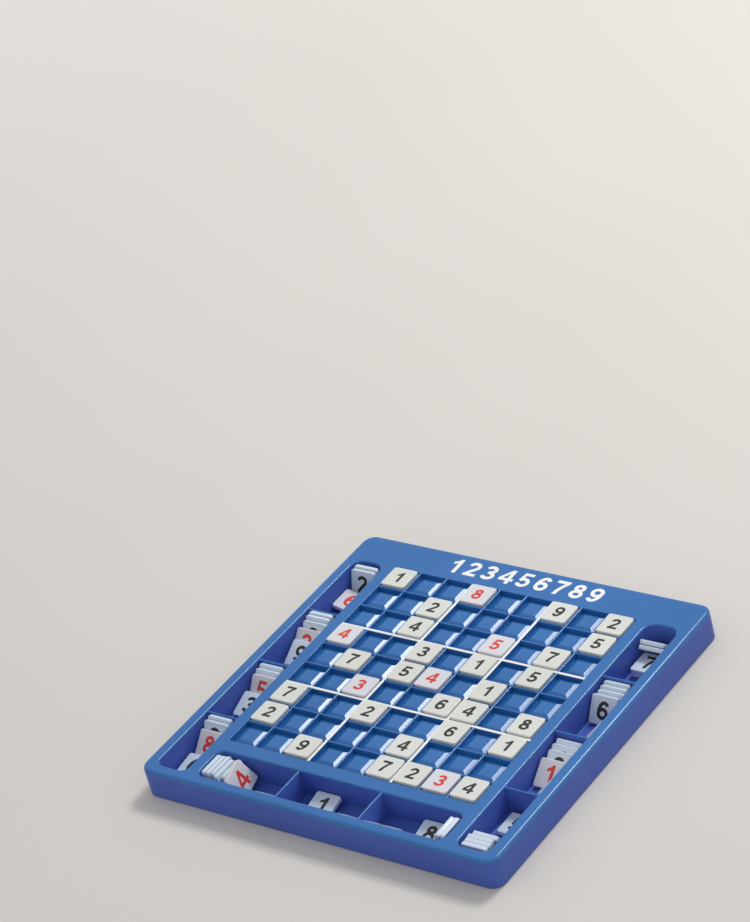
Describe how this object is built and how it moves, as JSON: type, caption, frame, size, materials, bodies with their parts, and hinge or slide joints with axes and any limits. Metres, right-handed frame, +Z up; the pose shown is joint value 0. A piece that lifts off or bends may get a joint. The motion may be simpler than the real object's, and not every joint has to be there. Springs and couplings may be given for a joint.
{
  "type": "sudoku board",
  "caption": "Flat blue moulded sudoku board with shallow padded cells, storage bins around its edge and square number tiles that lift out.",
  "frame": {"origin": "on the table under the middle of the tray", "axes": "+X to the right along a row of cells, +Y towards the header, +Z up out of the cells"},
  "size_m": [0.257, 0.246, 0.0223],
  "materials": {
    "tray_blue": "smooth blue moulded plastic with a soft gloss",
    "line_white": "blue plastic ridge with a white printed top",
    "tile_white": "satin white plastic with a printed number"
  },
  "bodies": {
    "tray": {"header_deck": "tray_blue", "left_rim": "tray_blue", "right_rim": "tray_blue", "front_rim": "tray_blue", "left_strip": "tray_blue", "right_strip": "tray_blue", "front_strip": "tray_blue", "cell_floor": "tray_blue", "box_ridges_y": "line_white", "box_ridges_x": "line_white", "thin_ridges_y": "tray_blue", "thin_ridges_x": "tray_blue", "bin_floors": "tray_blue", "bin_dividers": "tray_blue", "bin_corners": "tray_blue"},
    "tile_r1c1": {"tile_r1c1": "tile_white"},
    "tile_r1c4": {"tile_r1c4": "tile_white"},
    "tile_r1c7": {"tile_r1c7": "tile_white"},
    "tile_r1c9": {"tile_r1c9": "tile_white"},
    "tile_r2c3": {"tile_r2c3": "tile_white"},
    "tile_r2c9": {"tile_r2c9": "tile_white"},
    "tile_r3c3": {"tile_r3c3": "tile_white"},
    "tile_r3c6": {"tile_r3c6": "tile_white"},
    "tile_r3c8": {"tile_r3c8": "tile_white"},
    "tile_r4c1": {"tile_r4c1": "tile_white"},
    "tile_r4c4": {"tile_r4c4": "tile_white"},
    "tile_r4c6": {"tile_r4c6": "tile_white"},
    "tile_r4c8": {"tile_r4c8": "tile_white"},
    "tile_r5c2": {"tile_r5c2": "tile_white"},
    "tile_r5c4": {"tile_r5c4": "tile_white"},
    "tile_r5c5": {"tile_r5c5": "tile_white"},
    "tile_r5c7": {"tile_r5c7": "tile_white"},
    "tile_r6c3": {"tile_r6c3": "tile_white"},
    "tile_r6c6": {"tile_r6c6": "tile_white"},
    "tile_r6c7": {"tile_r6c7": "tile_white"},
    "tile_r6c9": {"tile_r6c9": "tile_white"},
    "tile_r7c1": {"tile_r7c1": "tile_white"},
    "tile_r7c4": {"tile_r7c4": "tile_white"},
    "tile_r7c7": {"tile_r7c7": "tile_white"},
    "tile_r7c9": {"tile_r7c9": "tile_white"},
    "tile_r8c1": {"tile_r8c1": "tile_white"},
    "tile_r8c6": {"tile_r8c6": "tile_white"},
    "tile_r9c3": {"tile_r9c3": "tile_white"},
    "tile_r9c6": {"tile_r9c6": "tile_white"},
    "tile_r9c7": {"tile_r9c7": "tile_white"},
    "tile_r9c8": {"tile_r9c8": "tile_white"},
    "tile_r9c9": {"tile_r9c9": "tile_white"},
    "stored_left_1": {"stored_left_1": "tile_white"},
    "stored_left_2": {"stored_left_2": "tile_white"},
    "stored_left_3": {"stored_left_3": "tile_white"},
    "stored_left_4": {"stored_left_4": "tile_white"},
    "stored_right_1": {"stored_right_1": "tile_white"},
    "stored_right_2": {"stored_right_2": "tile_white"},
    "stored_right_3": {"stored_right_3": "tile_white"},
    "stored_right_4": {"stored_right_4": "tile_white"},
    "stored_front_1": {"stored_front_1": "tile_white"},
    "stored_front_2": {"stored_front_2": "tile_white"},
    "stored_front_3": {"stored_front_3": "tile_white"}
  },
  "joints": [
    {"name": "lift_r1c1", "type": "slide", "parent": "tray", "child": "tile_r1c1", "axis": [0, 0, 1], "range_m": [0, 0.02]},
    {"name": "lift_r1c4", "type": "slide", "parent": "tray", "child": "tile_r1c4", "axis": [0, 0, 1], "range_m": [0, 0.02]},
    {"name": "lift_r1c7", "type": "slide", "parent": "tray", "child": "tile_r1c7", "axis": [0, 0, 1], "range_m": [0, 0.02]},
    {"name": "lift_r1c9", "type": "slide", "parent": "tray", "child": "tile_r1c9", "axis": [0, 0, 1], "range_m": [0, 0.02]},
    {"name": "lift_r2c3", "type": "slide", "parent": "tray", "child": "tile_r2c3", "axis": [0, 0, 1], "range_m": [0, 0.02]},
    {"name": "lift_r2c9", "type": "slide", "parent": "tray", "child": "tile_r2c9", "axis": [0, 0, 1], "range_m": [0, 0.02]},
    {"name": "lift_r3c3", "type": "slide", "parent": "tray", "child": "tile_r3c3", "axis": [0, 0, 1], "range_m": [0, 0.02]},
    {"name": "lift_r3c6", "type": "slide", "parent": "tray", "child": "tile_r3c6", "axis": [0, 0, 1], "range_m": [0, 0.02]},
    {"name": "lift_r3c8", "type": "slide", "parent": "tray", "child": "tile_r3c8", "axis": [0, 0, 1], "range_m": [0, 0.02]},
    {"name": "lift_r4c1", "type": "slide", "parent": "tray", "child": "tile_r4c1", "axis": [0, 0, 1], "range_m": [0, 0.02]},
    {"name": "lift_r4c4", "type": "slide", "parent": "tray", "child": "tile_r4c4", "axis": [0, 0, 1], "range_m": [0, 0.02]},
    {"name": "lift_r4c6", "type": "slide", "parent": "tray", "child": "tile_r4c6", "axis": [0, 0, 1], "range_m": [0, 0.02]},
    {"name": "lift_r4c8", "type": "slide", "parent": "tray", "child": "tile_r4c8", "axis": [0, 0, 1], "range_m": [0, 0.02]},
    {"name": "lift_r5c2", "type": "slide", "parent": "tray", "child": "tile_r5c2", "axis": [0, 0, 1], "range_m": [0, 0.02]},
    {"name": "lift_r5c4", "type": "slide", "parent": "tray", "child": "tile_r5c4", "axis": [0, 0, 1], "range_m": [0, 0.02]},
    {"name": "lift_r5c5", "type": "slide", "parent": "tray", "child": "tile_r5c5", "axis": [0, 0, 1], "range_m": [0, 0.02]},
    {"name": "lift_r5c7", "type": "slide", "parent": "tray", "child": "tile_r5c7", "axis": [0, 0, 1], "range_m": [0, 0.02]},
    {"name": "lift_r6c3", "type": "slide", "parent": "tray", "child": "tile_r6c3", "axis": [0, 0, 1], "range_m": [0, 0.02]},
    {"name": "lift_r6c6", "type": "slide", "parent": "tray", "child": "tile_r6c6", "axis": [0, 0, 1], "range_m": [0, 0.02]},
    {"name": "lift_r6c7", "type": "slide", "parent": "tray", "child": "tile_r6c7", "axis": [0, 0, 1], "range_m": [0, 0.02]},
    {"name": "lift_r6c9", "type": "slide", "parent": "tray", "child": "tile_r6c9", "axis": [0, 0, 1], "range_m": [0, 0.02]},
    {"name": "lift_r7c1", "type": "slide", "parent": "tray", "child": "tile_r7c1", "axis": [0, 0, 1], "range_m": [0, 0.02]},
    {"name": "lift_r7c4", "type": "slide", "parent": "tray", "child": "tile_r7c4", "axis": [0, 0, 1], "range_m": [0, 0.02]},
    {"name": "lift_r7c7", "type": "slide", "parent": "tray", "child": "tile_r7c7", "axis": [0, 0, 1], "range_m": [0, 0.02]},
    {"name": "lift_r7c9", "type": "slide", "parent": "tray", "child": "tile_r7c9", "axis": [0, 0, 1], "range_m": [0, 0.02]},
    {"name": "lift_r8c1", "type": "slide", "parent": "tray", "child": "tile_r8c1", "axis": [0, 0, 1], "range_m": [0, 0.02]},
    {"name": "lift_r8c6", "type": "slide", "parent": "tray", "child": "tile_r8c6", "axis": [0, 0, 1], "range_m": [0, 0.02]},
    {"name": "lift_r9c3", "type": "slide", "parent": "tray", "child": "tile_r9c3", "axis": [0, 0, 1], "range_m": [0, 0.02]},
    {"name": "lift_r9c6", "type": "slide", "parent": "tray", "child": "tile_r9c6", "axis": [0, 0, 1], "range_m": [0, 0.02]},
    {"name": "lift_r9c7", "type": "slide", "parent": "tray", "child": "tile_r9c7", "axis": [0, 0, 1], "range_m": [0, 0.02]},
    {"name": "lift_r9c8", "type": "slide", "parent": "tray", "child": "tile_r9c8", "axis": [0, 0, 1], "range_m": [0, 0.02]},
    {"name": "lift_r9c9", "type": "slide", "parent": "tray", "child": "tile_r9c9", "axis": [0, 0, 1], "range_m": [0, 0.02]},
    {"name": "lift_stored_left_1", "type": "slide", "parent": "tray", "child": "stored_left_1", "axis": [0, 0, 1], "range_m": [0, 0.03]},
    {"name": "lift_stored_left_2", "type": "slide", "parent": "tray", "child": "stored_left_2", "axis": [0, 0, 1], "range_m": [0, 0.03]},
    {"name": "lift_stored_left_3", "type": "slide", "parent": "tray", "child": "stored_left_3", "axis": [0, 0, 1], "range_m": [0, 0.03]},
    {"name": "lift_stored_left_4", "type": "slide", "parent": "tray", "child": "stored_left_4", "axis": [0, 0, 1], "range_m": [0, 0.03]},
    {"name": "lift_stored_right_1", "type": "slide", "parent": "tray", "child": "stored_right_1", "axis": [0, 0, 1], "range_m": [0, 0.03]},
    {"name": "lift_stored_right_2", "type": "slide", "parent": "tray", "child": "stored_right_2", "axis": [0, 0, 1], "range_m": [0, 0.03]},
    {"name": "lift_stored_right_3", "type": "slide", "parent": "tray", "child": "stored_right_3", "axis": [0, 0, 1], "range_m": [0, 0.03]},
    {"name": "lift_stored_right_4", "type": "slide", "parent": "tray", "child": "stored_right_4", "axis": [0, 0, 1], "range_m": [0, 0.03]},
    {"name": "lift_stored_front_1", "type": "slide", "parent": "tray", "child": "stored_front_1", "axis": [0, 0, 1], "range_m": [0, 0.03]},
    {"name": "lift_stored_front_2", "type": "slide", "parent": "tray", "child": "stored_front_2", "axis": [0, 0, 1], "range_m": [0, 0.03]},
    {"name": "lift_stored_front_3", "type": "slide", "parent": "tray", "child": "stored_front_3", "axis": [0, 0, 1], "range_m": [0, 0.03]}
  ]
}
